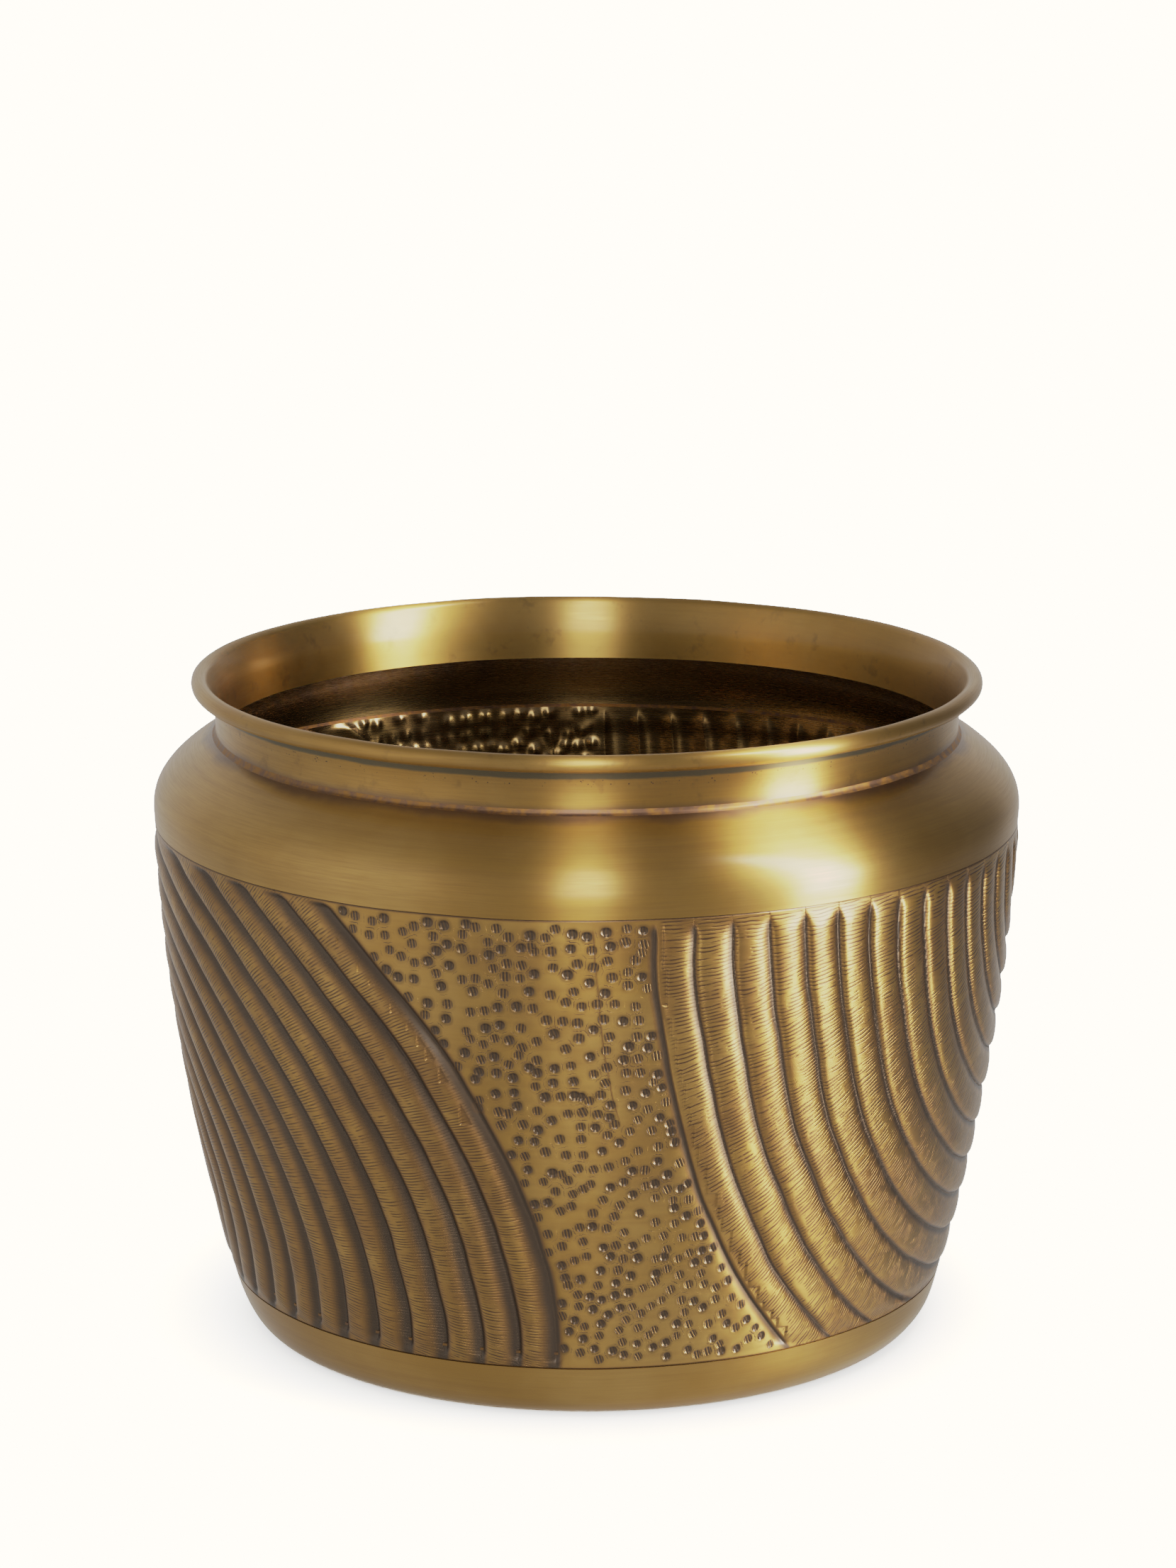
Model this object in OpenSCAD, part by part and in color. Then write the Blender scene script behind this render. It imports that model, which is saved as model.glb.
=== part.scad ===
// Brass planter pot: a wide sheet-brass jardiniere with a chased wall,
// a rounded shoulder and a short collar whose lip is rolled over a wire.
//
// Every part is one spun ring about the Z axis. The pot stands on z = 0,
// the origin is the centre of its foot, and all sizes are in millimetres.
//
// The dish stands up inside the wall and the wall inside the shoulder, by
// about 5 mm each, and a fillet of braze closes each lap on the inside. The
// collar drops through the mouth of the shoulder and is brazed outside.

/* [Body] */
// Widest diameter, just above the upper seam
pot_d = 300; // [296:1:310]
// Height from the foot to the top of the rolled lip
pot_h = 228.5; // [226:0.5:232]
// Thickness of the brass sheet
sheet = 1; // [0.8:0.1:1.2]

/* [Base dish] */
// Diameter of the flat foot
foot_d = 227.5; // [210:0.5:232]
// Diameter where the dish meets the wall
base_seam_d = 250.8; // [244:0.2:256]
// Height of the seam between the dish and the wall
base_seam_z = 18.5; // [16:0.5:24]
// Fullness of the heel curve, from a flat chamfer to a tight corner
heel_fullness = 0.66; // [0.4:0.02:0.8]

/* [Wall] */
// How far the wall bows out past a straight line between its seams
wall_bow = 4.3; // [0:0.1:8]
// Height of the seam between the wall and the shoulder
top_seam_z = 178; // [170:0.5:182]
// Width of the line cut along each seam
line_w = 0.6; // [0.3:0.1:1]
// Depth of the line cut along each seam
line_depth = 0.4; // [0.2:0.05:0.6]

/* [Shoulder] */
// Slope of the shoulder where it meets the collar, in degrees
shoulder_slope = 30; // [24:1:36]
// Length of the nearly straight run above the upper seam
shoulder_rise = 8; // [5:0.5:11]
// Length of the run that turns in towards the collar
shoulder_run = 27.8; // [22:0.2:32]

/* [Collar] */
// Outer diameter of the collar where it passes through the shoulder
collar_d = 256.8; // [252:0.2:258]
// Height of the crease between the shoulder and the collar
crease_z = 207.6; // [204:0.2:209]
// How far the collar hangs below the crease, inside the pot
skirt_drop = 1.5; // [1.3:0.1:6]

/* [Rolled lip] */
// Diameter of the wire inside the lip
wire_d = 3.7; // [3:0.1:4.5]
// Diameter of the ring that the wire forms, along its centre
lip_ring_d = 267.2; // [266:0.2:270]

/* [Braze] */
// Leg length of the braze fillet in the crease outside
neck_fillet = 1.3; // [0.8:0.1:2]
// Leg length of the braze fillets at the laps inside
lap_fillet = 0.95; // [0.6:0.05:0.95]

/* [Hidden] */
$fn = 180;

brass = "#a98a4d";
worn_brass = "#8f7343";
bright_brass = "#c2a561";
wire_brass = "#b08d48";
braze_metal = "#a9745a";

// Number of straight steps that draw each curve of the profile
heel_steps = 14;
wall_steps = 32;
shoulder_steps = 24;
collar_steps = 12;
roll_step = 10;
// Each lap is this many steps of its curve, about 5 mm in all: the dish's
// follows the wall, and the wall's follows the shoulder
base_lap_steps = 1;
top_lap_steps = 5;

// Gap between the wire and the sheet rolled round it
wire_gap = 0.05;
// The lip's sheet turns round the wire between these two directions
roll_from = 155;
roll_to = -125;
// Radius of the lip along the middle of its sheet
roll_r = wire_d / 2 + wire_gap + sheet / 2;
lip_ring = [lip_ring_d / 2, pot_h - sheet - wire_gap - wire_d / 2];

// The seam sits this far inside the widest diameter
seam_inset = 0.25;
foot_edge = [foot_d / 2, 0];
base_seam = [base_seam_d / 2, base_seam_z];
top_seam = [pot_d / 2 - seam_inset, top_seam_z];
crease = [collar_d / 2, crease_z];

// ---- Vectors in the (radius, height) plane --------------------------------

function unit(v) = v / norm(v);
// Quarter turn clockwise: the outward side of a path that climbs
function outward(v) = [v[1], -v[0]];
function polar(a) = [cos(a), sin(a)];
function reversed(v) = [for (i = [len(v) - 1 : -1 : 0]) v[i]];

// ---- Curves: each sample is [point, unit direction of travel] --------------

function cubic_point(p, t) =
    pow(1 - t, 3) * p[0] + 3 * pow(1 - t, 2) * t * p[1]
    + 3 * (1 - t) * t * t * p[2] + pow(t, 3) * p[3];
function cubic_travel(p, t) =
    unit(pow(1 - t, 2) * (p[1] - p[0]) + 2 * (1 - t) * t * (p[2] - p[1])
    + t * t * (p[3] - p[2]));
function cubic(p, steps) =
    [for (i = [0 : steps]) [cubic_point(p, i / steps), cubic_travel(p, i / steps)]];

// A sheet lies along a path. The skin is its samples moved sideways.
function skin(path, side) = [for (s = path) s[0] + side * outward(s[1])];

// The wall's control point bows it out evenly between the two seams
wall_control = (base_seam + top_seam) / 2
    + 2 * wall_bow * unit(outward(top_seam - base_seam));
wall_start = unit(wall_control - base_seam);
wall_end = unit(top_seam - wall_control);
wall_path = cubic([
    base_seam,
    base_seam + 2 / 3 * (wall_control - base_seam),
    top_seam + 2 / 3 * (wall_control - top_seam),
    top_seam
], wall_steps);

// The heel leaves the foot flat and joins the wall without a kink, so its
// handles point at the corner where the floor and the wall would meet
heel_corner = base_seam - wall_start * base_seam_z / wall_start[1];
heel_path = cubic([
    foot_edge,
    foot_edge + heel_fullness * (heel_corner - foot_edge),
    base_seam + heel_fullness * (heel_corner - base_seam),
    base_seam
], heel_steps);

shoulder_path = cubic([
    top_seam,
    top_seam + shoulder_rise * wall_end,
    crease + shoulder_run * polar(-shoulder_slope),
    crease
], shoulder_steps);

// The collar is drawn along the middle of its sheet: a straight stretch up
// through the mouth, a slight flare, then the rolled lip
collar_mid_r = collar_d / 2 - sheet / 2;
straight_rise = 1.8;
skirt_path = [[[collar_mid_r, crease_z - skirt_drop], [0, 1]]];
roll_start = lip_ring + roll_r * polar(roll_from);
flare_path = cubic([
    [collar_mid_r, crease_z + straight_rise],
    [collar_mid_r, crease_z + straight_rise + 8],
    roll_start - 6 * polar(roll_from - 90),
    roll_start
], collar_steps);
roll_path = [
    for (a = [roll_from - roll_step : -roll_step : roll_to])
        [lip_ring + roll_r * polar(a), polar(a - 90)]
];

// ---- Sub-parts --------------------------------------------------------------

module ring(outline) {
    rotate_extrude() polygon(outline);
}

// Floor and heel in one spun dish. Past the seam its edge is stepped in by
// the thickness of the sheet, and stands up inside the wall.
module base_dish() {
    lap = [for (i = [0 : base_lap_steps]) wall_path[i]];
    heel_inside = [for (i = [0 : heel_steps - 1]) heel_path[i]];
    color(brass) ring(concat(
        [[0, 0]],
        skin(heel_path, 0),
        skin(lap, -sheet),
        reversed(skin(lap, -2 * sheet)),
        reversed(skin(heel_inside, -sheet)),
        [[0, sheet]]
    ));
}

// The chased band between the two seams. Its outer edges are cut back to
// leave the fine dark lines that border the pattern. Past the upper seam it
// is stepped in, and stands up inside the shoulder.
module chased_wall() {
    first = wall_path[0];
    last = wall_path[wall_steps];
    between = [for (i = [1 : wall_steps - 1]) wall_path[i]];
    below_step = [for (i = [0 : wall_steps - 1]) wall_path[i]];
    lap = [for (i = [0 : top_lap_steps]) shoulder_path[i]];
    color(worn_brass) ring(concat(
        [first[0] - line_depth * outward(first[1]), first[0] + line_w * first[1]],
        skin(between, 0),
        [last[0] - line_w * last[1], last[0] - line_depth * outward(last[1])],
        skin(lap, -sheet),
        reversed(skin(lap, -2 * sheet)),
        reversed(skin(below_step, -sheet))
    ));
}

// Rounded shoulder from the upper seam in to the mouth.
module shoulder_ring() {
    shoulder_inside = [for (i = [0 : shoulder_steps - 1]) shoulder_path[i]];
    color(brass) ring(concat(
        skin(shoulder_path, 0),
        [crease - [0, sheet / cos(shoulder_slope)]],
        reversed(skin(shoulder_inside, -sheet))
    ));
}

module neck_collar() {
    path = concat(skirt_path, flare_path, roll_path);
    color(bright_brass) ring(concat(
        skin(path, sheet / 2),
        reversed(skin(path, -sheet / 2))
    ));
}

module rim_wire() {
    color(wire_brass) rotate_extrude() translate(lip_ring) circle(d = wire_d);
}

// A lap fillet sits on the edge of a lap, where the path's sample lies, in
// the corner against the sheet outside it.
module lap_braze(path, sample) {
    corner = skin([path[sample]], -sheet)[0];
    lap_edge = skin([path[sample]], -2 * sheet)[0];
    along = unit(skin([path[sample + 1]], -sheet)[0] - corner);
    color(braze_metal) ring([corner, corner + lap_fillet * along, lap_edge]);
}

module base_braze() {
    lap_braze(wall_path, base_lap_steps);
}

module shoulder_braze() {
    lap_braze(shoulder_path, top_lap_steps);
}

// Fillet in the crease outside, between the collar and the shoulder.
module neck_braze() {
    shoulder_side = unit(shoulder_path[shoulder_steps - 1][0] - crease);
    hollow = 0.35 * neck_fillet;
    color(braze_metal) ring([
        crease,
        crease + neck_fillet * shoulder_side,
        crease + hollow * (shoulder_side + [0, 1]),
        crease + [0, neck_fillet]
    ]);
}

base_dish();
chased_wall();
shoulder_ring();
neck_collar();
rim_wire();
base_braze();
shoulder_braze();
neck_braze();
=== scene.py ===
import math

import bmesh
import bpy
import numpy as np
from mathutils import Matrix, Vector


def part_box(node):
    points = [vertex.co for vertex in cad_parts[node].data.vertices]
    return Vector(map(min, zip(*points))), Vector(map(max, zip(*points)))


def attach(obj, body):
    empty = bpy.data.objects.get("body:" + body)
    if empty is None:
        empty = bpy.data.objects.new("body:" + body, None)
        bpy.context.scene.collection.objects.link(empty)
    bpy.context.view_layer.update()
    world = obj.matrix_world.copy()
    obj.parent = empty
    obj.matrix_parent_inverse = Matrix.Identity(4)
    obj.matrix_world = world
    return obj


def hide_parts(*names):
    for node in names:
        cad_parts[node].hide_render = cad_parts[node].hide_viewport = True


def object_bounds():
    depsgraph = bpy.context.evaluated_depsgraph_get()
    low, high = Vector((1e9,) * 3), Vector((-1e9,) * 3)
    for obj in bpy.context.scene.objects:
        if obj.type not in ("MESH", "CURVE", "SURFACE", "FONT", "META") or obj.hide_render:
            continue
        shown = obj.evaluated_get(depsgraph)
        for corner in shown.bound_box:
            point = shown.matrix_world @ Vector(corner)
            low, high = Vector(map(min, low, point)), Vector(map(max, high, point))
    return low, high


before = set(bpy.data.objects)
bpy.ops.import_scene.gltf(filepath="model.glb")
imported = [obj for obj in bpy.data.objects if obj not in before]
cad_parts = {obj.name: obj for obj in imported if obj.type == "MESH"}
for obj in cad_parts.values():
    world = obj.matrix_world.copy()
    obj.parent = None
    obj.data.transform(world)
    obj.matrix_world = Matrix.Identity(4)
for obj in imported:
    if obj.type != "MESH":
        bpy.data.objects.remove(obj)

# Looks of the brass planter pot.
#
# Every CAD node is a spun ring, so each one is rebuilt here as a fine mesh on the
# node's own outline, and the chased pattern is raised and sunk on the wall's mesh.
#
# The frame is in metres. The pattern is worked out in millimetres, on the wall rolled
# out flat: azimuth in degrees, 0 at the front (-Y) and growing to the right (+X), and
# height above the foot.

cad_low, cad_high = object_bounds()
MM = 0.001
TOTAL_HEIGHT = cad_high.z / MM

wall_low, wall_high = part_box("chased_wall")
LOWER_LINE = wall_low.z / MM
# The wall goes on past its upper line, in a lap that stands up inside the shoulder
UPPER_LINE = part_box("shoulder_ring")[0].z / MM
LAP_TOP = wall_high.z / MM
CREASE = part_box("shoulder_ring")[1].z / MM
# The rolled lip's sheet goes under its wire, with a small gap between the two
SHEET_AND_GAP = 1.05
LIP_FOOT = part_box("rim_wire")[0].z / MM - SHEET_AND_GAP


# ---- Smooth random fields ------------------------------------------------------------


def ease(value, start, end):
    """0 at start, 1 at end, and smooth in between."""
    t = np.clip((value - start) / (end - start), 0.0, 1.0)
    return t * t * (3.0 - 2.0 * t)


def ripple(azimuth, height, around, tall, seed):
    """Smooth noise from -1 to 1: around bumps a turn, each tall millimetres high."""
    rows = int(TOTAL_HEIGHT / tall) + 4
    lattice = np.random.RandomState(seed).uniform(-1.0, 1.0, (rows, around))
    column = np.mod(azimuth, 360.0) / 360.0 * around
    row = np.clip(height / tall + 1.0, 0.0, rows - 1.001)
    c, r = np.floor(column).astype(int), np.floor(row).astype(int)
    fc, fr = ease(column - c, 0.0, 1.0), ease(row - r, 0.0, 1.0)
    c0, c1 = c % around, (c + 1) % around
    low = lattice[r, c0] * (1 - fc) + lattice[r, c1] * fc
    high = lattice[r + 1, c0] * (1 - fc) + lattice[r + 1, c1] * fc
    return low * (1 - fr) + high * fr


def bump(azimuth, centre, width):
    """A smooth hump around one azimuth, in degrees."""
    aside = np.mod(azimuth - centre + 180.0, 360.0) - 180.0
    return np.exp(-((aside / width) ** 2))


def hand_made(azimuth, height):
    """How far a spun and hammered pot strays from true: outwards, and upwards, in mm."""
    turn = np.radians(azimuth)
    out = 0.35 * np.cos(2 * turn + 0.6)
    out = out + 0.22 * ripple(azimuth, height, 9, 55.0, 11)
    out = out + 0.07 * ripple(azimuth, height, 34, 18.0, 12)
    # The heel is fuller at the front right
    out = out + 0.9 * bump(azimuth, 55.0, 38.0) * np.exp(-(((height - 8.0) / 7.0) ** 2))
    up = 0.35 * ripple(azimuth, height, 8, 90.0, 13) + 0.12 * ripple(azimuth, height, 40, 60.0, 14)
    # The mouth dips at the front, and a little at the back right
    dip = 0.8 * (0.5 + 0.5 * np.cos(turn)) + 0.6 * bump(azimuth, 150.0, 35.0)
    up = up - dip * ease(height, 205.0, 226.0)
    off_floor = ease(height, 2.0, 16.0)
    return out * ease(height, 0.0, 6.0), up * off_floor


# ---- Outlines of the CAD nodes -------------------------------------------------------

# Points closer than this, in mm, are one corner
SAME_CORNER = 0.05
# A corner that turns further than this, in degrees, stays sharp
SHARP_TURN = 24.0
# A stretch longer than this, in mm, is straight
LONG_STRETCH = 12.0


def outline(node):
    """The corners (radius, height), in mm, of a spun node's half section, anticlockwise."""
    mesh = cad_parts[node].data
    points = np.empty(len(mesh.vertices) * 3)
    mesh.vertices.foreach_get("co", points)
    points = points.reshape(-1, 3) / MM
    section = np.c_[np.hypot(points[:, 0], points[:, 1]), points[:, 2]]
    spots, which = np.unique(np.round(section, 2), axis=0, return_inverse=True)
    gap = np.hypot(*(spots[:, None] - spots[None]).transpose(2, 0, 1))
    first = np.argmax(gap < SAME_CORNER, axis=1)
    which = first[which.ravel()]
    edges = np.empty(len(mesh.edges) * 2, int)
    mesh.edges.foreach_get("vertices", edges)
    edges = which[edges.reshape(-1, 2)]
    beside = {}
    for a, b in np.unique(edges, axis=0):
        if a != b:
            beside.setdefault(a, set()).add(b)
            beside.setdefault(b, set()).add(a)
    ends = [a for a in beside if len(beside[a]) == 1]
    here = min(ends or beside, key=lambda a: (spots[a][1], spots[a][0]))
    order = [here]
    while True:
        onward = [b for b in beside[here] if b not in order]
        if not onward:
            break
        here = min(onward, key=lambda b: gap[here][b])
        order.append(here)
    loop = spots[order]
    if ends:
        # A disc has no corner at its middle, so the outline is led in to the axis
        return np.vstack([[0.0, loop[0][1]], loop, [0.0, loop[-1][1]]])
    r, z = loop.T
    turning = np.sum(r * np.roll(z, -1) - np.roll(r, -1) * z)
    return loop if turning > 0 else loop[::-1]


def fine(loop, spacing, closed):
    """The outline with its gentle bends drawn as smooth curves, sampled every spacing mm."""
    count = len(loop)
    ahead = np.roll(loop, -1, axis=0) - loop
    length = np.hypot(*ahead.T)
    travel = ahead / length[:, None]
    before = np.roll(travel, 1, axis=0)
    bend = np.degrees(np.arccos(np.clip((travel * before).sum(1), -1, 1)))
    middle = before * length[:, None] + travel * np.roll(length, 1)[:, None]
    middle /= np.maximum(np.hypot(*middle.T), 1e-9)[:, None]
    # A long straight stretch keeps its own direction at both ends
    straight = length > LONG_STRETCH
    middle[straight] = travel[straight]
    after = np.roll(straight, 1)
    middle[after] = before[after]
    sharp = bend > SHARP_TURN
    if not closed:
        sharp[[0, -1]] = True
    start = np.where(sharp[:, None], travel, middle)
    finish = np.where(sharp[:, None], before, middle)
    points, corner = [], []
    for i in range(count if closed else count - 1):
        j = (i + 1) % count
        steps = max(1, int(round(length[i] / spacing)))
        t = (np.arange(steps) / steps)[:, None]
        points.append(
            (2 * t**3 - 3 * t**2 + 1) * loop[i]
            + (t**3 - 2 * t**2 + t) * length[i] * start[i]
            + (3 * t**2 - 2 * t**3) * loop[j]
            + (t**3 - t**2) * length[i] * finish[j]
        )
        corner += [bool(sharp[i])] + [False] * (steps - 1)
    if not closed:
        points.append(loop[-1:])
        corner.append(True)
    return np.vstack(points), np.array(corner)


def outward(points, closed):
    """The unit normals, out of the solid, along an anticlockwise outline."""
    if closed:
        along = np.roll(points, -1, axis=0) - np.roll(points, 1, axis=0)
    else:
        along = np.gradient(points, axis=0)
    along /= np.maximum(np.hypot(*along.T), 1e-9)[:, None]
    return np.c_[along[:, 1], -along[:, 0]]


# ---- Meshes --------------------------------------------------------------------------


def spun_mesh(name, radius, height, azimuth, closed, arc):
    """A mesh from grids of radius and height (outline samples x azimuths), in mm.

    arc is the length along the outline at each sample, which the materials read.
    """
    rows, columns = radius.shape
    turn = np.radians(azimuth)
    points = np.stack([radius * np.sin(turn), -radius * np.cos(turn), height], axis=2)
    last = rows if closed else rows - 1
    i, j = np.meshgrid(np.arange(last), np.arange(columns), indexing="ij")
    i, j = i.ravel(), j.ravel()
    above, right = (i + 1) % rows, (j + 1) % columns
    below, above = i * columns, above * columns
    faces = np.stack([below + j, below + right, above + right, above + j], axis=1)
    mesh = bpy.data.meshes.new(name)
    mesh.vertices.add(rows * columns)
    mesh.vertices.foreach_set("co", (points * MM).astype(np.float32).ravel())
    mesh.loops.add(faces.size)
    mesh.loops.foreach_set("vertex_index", faces.astype(np.int32).ravel())
    mesh.polygons.add(len(faces))
    mesh.polygons.foreach_set("loop_start", np.arange(0, faces.size, 4, dtype=np.int32))
    mesh.polygons.foreach_set("use_smooth", np.ones(len(faces), bool))
    mesh.update()
    mesh.validate()
    piece = bpy.data.objects.new(name, mesh)
    bpy.context.scene.collection.objects.link(piece)
    add_value(piece, "along_outline", np.repeat(arc * MM, columns))
    return piece


def add_value(piece, name, values):
    """Stores one number a vertex, for the material to read."""
    layer = piece.data.attributes.new(name, "FLOAT", "POINT")
    layer.data.foreach_set("value", np.ascontiguousarray(values, np.float32).ravel())


def arc_length(points):
    """The length along the outline, in mm, at each of its points."""
    return np.r_[0.0, np.cumsum(np.hypot(*np.diff(points, axis=0).T))]


def even_azimuths(columns):
    """Azimuths all the way round, in degrees."""
    return -180.0 + 360.0 * np.arange(columns) / columns


def spin(node, name, spacing, columns, relief=None):
    """Rebuilds a node as a fine, slightly uneven ring. relief gives more shape, in mm."""
    loop = outline(node)
    closed = loop[0][0] > 0
    points, corner = fine(loop, spacing, closed)
    azimuth = even_azimuths(columns)
    grid = azimuth[None, :] + 0 * points[:, :1]
    radius = points[:, :1] + 0 * grid
    height = points[:, 1:] + 0 * grid
    out, up = hand_made(grid, height)
    if relief:
        normal = outward(points, closed)
        raised = relief(grid, height, normal[:, :1])
        out = out + raised * np.abs(normal[:, :1])
        up = up + raised * np.sign(normal[:, :1]) * normal[:, 1:]
    # The middle of the floor stays true, and its centre stays on the axis
    radius = np.where(radius > 1e-6, radius + out * ease(radius, 20.0, 100.0), 0.0)
    piece = spun_mesh(name, radius, height + up, azimuth, closed, arc_length(points))
    # The inner side faces the middle of the pot
    to_middle = np.c_[-points[:, 0], TOTAL_HEIGHT / 2 - points[:, 1]]
    facing = (outward(points, closed) * to_middle).sum(1) / np.hypot(*to_middle.T)
    add_value(piece, "inside", np.repeat(ease(facing, 0.1, 0.4), columns))
    add_value(piece, "level", np.repeat(points[:, 1] * MM, columns))
    mark_sharp(piece, corner, columns)
    if not closed:
        merge_middle(piece)
    return piece


def mark_sharp(piece, corner, columns):
    """Keeps the outline's corners crisp under smooth shading."""
    rows = np.nonzero(corner)[0]
    sharp_vertex = np.zeros(len(piece.data.vertices), bool)
    for row in rows:
        sharp_vertex[row * columns : (row + 1) * columns] = True
    ends = np.empty(len(piece.data.edges) * 2, int)
    piece.data.edges.foreach_get("vertices", ends)
    ends = ends.reshape(-1, 2)
    same_row = ends[:, 0] // columns == ends[:, 1] // columns
    sharp = sharp_vertex[ends[:, 0]] & same_row
    layer = piece.data.attributes.new("sharp_edge", "BOOLEAN", "EDGE")
    layer.data.foreach_set("value", sharp)


def merge_middle(piece):
    """Joins the points that meet on the axis."""
    work = bmesh.new()
    work.from_mesh(piece.data)
    middle = [v for v in work.verts if math.hypot(v.co.x, v.co.y) < 1e-7]
    bmesh.ops.remove_doubles(work, verts=middle, dist=1e-6)
    work.to_mesh(piece.data)
    work.free()


# ---- The chased pattern --------------------------------------------------------------

MEAN_RADIUS = 140.0
# On the inner skin the pattern is blunter
INSIDE_BLUNT = 0.8
# A punch mark deeper than this is a round pit, and a shallower one is squarer
DEEP = 0.5
DEEP_SQUARE = 2.2
SHALLOW_SQUARE = 3.0
# The half width of the deep marks and of the shallow ones, and then their depth
DEEP_MARK = (1.36, 1.60), (0.52, 0.66)
SHALLOW_MARK = (1.36, 1.62), (0.25, 0.40)
DEEP_SHARE = 0.42
# Marks lean, in degrees, and lean more towards the foot
LEAN_AT_TOP = 4.0
MORE_LEAN_BELOW = 18.0
LEAN_SPREAD = 6.0
# The punched fields: where they start, and how many degrees their marks spread over
FIELD_STARTS = (-42.0, 150.0)
FIELD_SPREAD = 72.0
TRIES = 16000
# No mark's middle is nearer to a fan than this, in mm
NEAREST = 2.6
# The first tries only look for places in a row along a fan's edge
ROW_TRIES = 1800
ROW_FAR = 3.6
ROW_GAP = 4.6
# Elsewhere the least distance between two marks varies
GAPS = (3.9, 4.8)
# A few marks are struck twice, the second time this far away
TWICE_SHARE = 0.08
TWICE_APART = 2.9
# How sharply a groove's side falls, and how round a flute is
GROOVE_POWER = 1.6
FLUTE_POWER = 0.9


class Fan:
    """One family of nested arcs. Groove 0 is the outermost, and they count inwards."""

    def __init__(self, place, spread, groove, flute, stain):
        # The arcs' middle, and how much higher it is for each groove inwards
        self.azimuth, self.height, self.drift = place
        # Width against height, the outermost groove's radius, the distance from groove to
        # groove, and how square the arcs are: at a power of 2 they are ellipses
        self.aspect, self.reach, self.pitch, self.power = spread
        # Depth of a groove, its width inwards and outwards, and how far it fades at the top
        self.depth, self.inner_side, self.outer_side, self.tip = groove
        # Rise of a flute, and where its crest is on the way from one groove to the next
        self.swell, self.crest = flute
        # Width of the dark stain, inwards and outwards from the bottom of a groove
        self.stain_in, self.stain_out = stain

    def place(self, azimuth, height):
        """The groove count, which is under 0 outside the fan, and mm along the arc."""
        aside = np.mod(azimuth - self.azimuth + 180.0, 360.0) - 180.0
        across = MEAN_RADIUS * np.radians(np.abs(aside))
        count = np.zeros_like(across)
        # The middle depends on the count, so the two are settled together
        for _ in range(7):
            rise = self.aspect * np.abs(height - self.height - self.drift * count)
            radius = (across**self.power + rise**self.power) ** (1.0 / self.power)
            count = (self.reach - radius) / self.pitch
        rise = self.aspect * (height - self.height - self.drift * count)
        middle_reach = self.reach - self.pitch * (np.floor(count) + 0.5)
        along = np.arctan2(rise, across * np.sign(aside)) * np.maximum(middle_reach, 4.0)
        return count, along


# The arch stands on the lower line and the bowl hangs from the upper one
ARCH = Fan(
    place=(-90.0, 27.3, 2.09),
    spread=(1.003, 209.1, 13.9, 1.81),
    groove=(1.25, 3.8, 1.6, 2.5),
    flute=(0.75, 0.58),
    stain=(4.7, 2.0),
)
BOWL = Fan(
    place=(92.8, 212.3, -1.65),
    spread=(0.865, 207.5, 12.13, 2.55),
    groove=(0.62, 1.1, 2.5, 8.0),
    flute=(0.60, 0.38),
    stain=(0.8, 1.9),
)


def top_line(blunt):
    """The pattern stops at the upper line outside, and at the edge of the lap inside."""
    return LAP_TOP + 1.0 if blunt else UPPER_LINE


def groove_strength(fan, height, blunt):
    """Grooves fade out before they reach the border lines, but inside they run on further."""
    top = ease(top_line(blunt) - height, 0.6, 0.8 + fan.tip)
    bottom = ease(height - LOWER_LINE, 0.2, 5.0)
    return top * bottom


def fan_relief(fan, count, height, blunt):
    """Relief in mm, and how stained each point is."""
    strength = groove_strength(fan, height, blunt)
    soft_in = (fan.inner_side + blunt) * (0.5 + 0.5 * strength)
    soft_out = (fan.outer_side + blunt) * (0.5 + 0.5 * strength)
    within = count >= 0
    # How far each point is inside one groove, and outside the next one
    inward = (count - np.floor(count)) * fan.pitch
    to_next = np.where(within, fan.pitch - inward, -count * fan.pitch)
    groove = np.exp(-((to_next / soft_out) ** GROOVE_POWER))
    groove += np.where(within, np.exp(-((inward / soft_in) ** GROOVE_POWER)), 0.0)
    stain = np.exp(-((to_next / fan.stain_out) ** 2))
    stain += np.where(within, np.exp(-((inward / fan.stain_in) ** 2)), 0.0)
    stain *= ease(UPPER_LINE - height, 0.2, 0.4 + 0.6 * fan.tip)
    # The sine's peak, at a half, is moved to the crest
    share = np.clip(inward / fan.pitch, 0.0, 1.0) ** (math.log(0.5) / math.log(fan.crest))
    ends = ease(top_line(blunt) - height, 0.5, 8.0) * ease(height - LOWER_LINE, 0.5, 7.0)
    flute = np.where(within, fan.swell * np.sin(np.pi * share) ** FLUTE_POWER, 0.0) * ends
    relief = flute - fan.depth * groove * strength
    if fan is BOWL:
        # Low down, the punched field rolls over into the first groove
        beyond = np.maximum(-count * fan.pitch, 0.0)
        rolled = -0.35 * ease(height, 115.0, 40.0) * ends
        relief += rolled * np.where(within, np.exp(-inward) * (count < 1), np.exp(-beyond / 2.8))
    return relief, np.clip(stain, 0.0, 1.0)


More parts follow.
